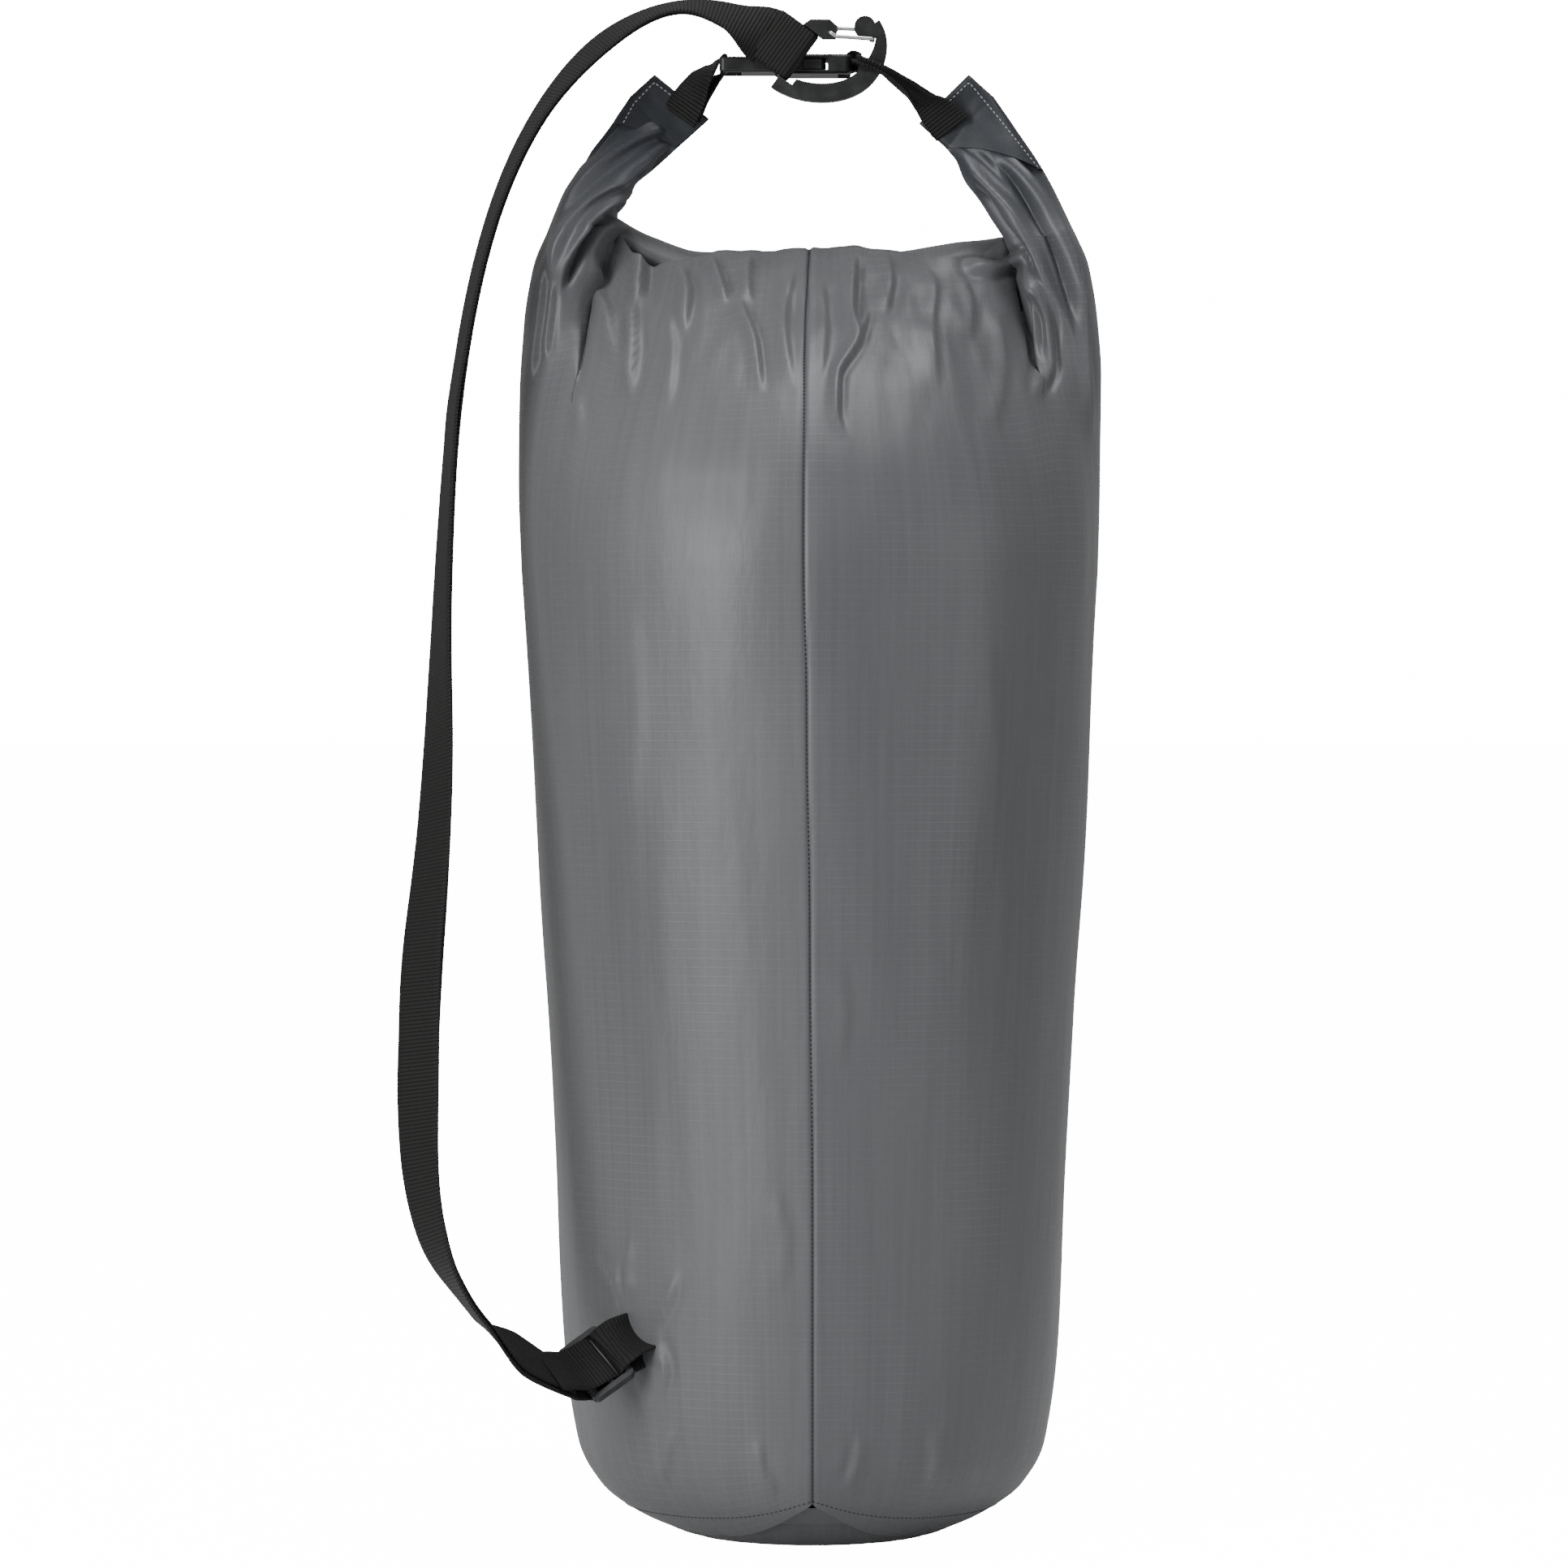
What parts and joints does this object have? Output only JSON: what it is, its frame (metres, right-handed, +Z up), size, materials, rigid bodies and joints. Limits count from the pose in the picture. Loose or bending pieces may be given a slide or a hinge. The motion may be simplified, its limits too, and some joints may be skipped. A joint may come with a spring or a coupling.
{
  "type": "rope storage bag",
  "caption": "Tall round grey cloth bag with a rolled and buckled mouth, a long webbing shoulder strap on a wire gate hook and a strap slide near its foot.",
  "frame": {"origin": "on the floor under the middle of the standing bag", "axes": "+Z up along the bag, -Y towards the side with the long seam, +X to the right when facing that side"},
  "size_m": [0.3115, 0.2677, 0.7004],
  "materials": {
    "shell_cloth": "coated ripstop nylon, satin",
    "base_cloth": "coated ripstop nylon, satin",
    "trim_cloth": "seam tape, binding and stiffener",
    "webbing": "ribbed webbing, matte",
    "thread": "polyester thread",
    "pale_thread": "polyester thread",
    "hardware": "moulded acetal, fine satin",
    "slide_plastic": "moulded acetal, satin",
    "wire": "stainless wire"
  },
  "bodies": {
    "bag": {"body_panel": "shell_cloth", "base_panel": "base_cloth", "mouth_roll": "shell_cloth", "left_ear": "shell_cloth", "right_ear": "shell_cloth", "left_hem_end": "shell_cloth", "right_hem_end": "shell_cloth", "mouth_stiffener": "trim_cloth", "back_seam_tape": "trim_cloth", "base_seam_binding": "trim_cloth", "lower_tab_patch": "trim_cloth", "back_seam_stitching": "thread", "base_seam_stitching": "thread", "left_tab_stitching": "thread", "right_tab_stitching": "thread", "lower_tab_bartack": "pale_thread", "left_tab": "webbing", "right_tab": "webbing", "lower_tab": "webbing", "shoulder_strap": "webbing", "strap_upper_fold": "webbing", "buckle_socket": "hardware", "buckle_plug": "hardware"},
    "near_prong": {"buckle_near_prong": "hardware"},
    "far_prong": {"buckle_far_prong": "hardware"},
    "hook": {"hook_body": "hardware"},
    "gate": {"hook_gate": "wire"},
    "slide": {"strap_slide": "slide_plastic", "strap_lower_fold": "webbing"}
  },
  "joints": [
    {"name": "near_button_press", "type": "hinge", "parent": "bag", "child": "near_prong", "pos_m": [-0.0122, -0.0086, 0.67], "axis": [0, 0, 1], "range_deg": [0, 7], "stiffness_Nm_per_rad": 0.3},
    {"name": "far_button_press", "type": "hinge", "parent": "bag", "child": "far_prong", "pos_m": [-0.0122, 0.0086, 0.67], "axis": [0, 0, -1], "range_deg": [0, 7], "stiffness_Nm_per_rad": 0.3},
    {"name": "hook_swing", "type": "hinge", "parent": "bag", "child": "hook", "pos_m": [-0.0071, -0.021, 0.6738], "axis": [0.5872, 0, 0.8094], "range_deg": [-2, 8]},
    {"name": "gate_swing", "type": "hinge", "parent": "hook", "child": "gate", "pos_m": [0.008, -0.021, 0.6833], "axis": [0, 1, 0], "range_deg": [0, 18], "stiffness_Nm_per_rad": 0.03},
    {"name": "slide_rock", "type": "hinge", "parent": "bag", "child": "slide", "pos_m": [-0.08881, -0.08752, 0.09183], "axis": [-0.582, 0.517, 0.6277], "range_deg": [-10, 10], "deforming": ["shoulder_strap"]}
  ]
}
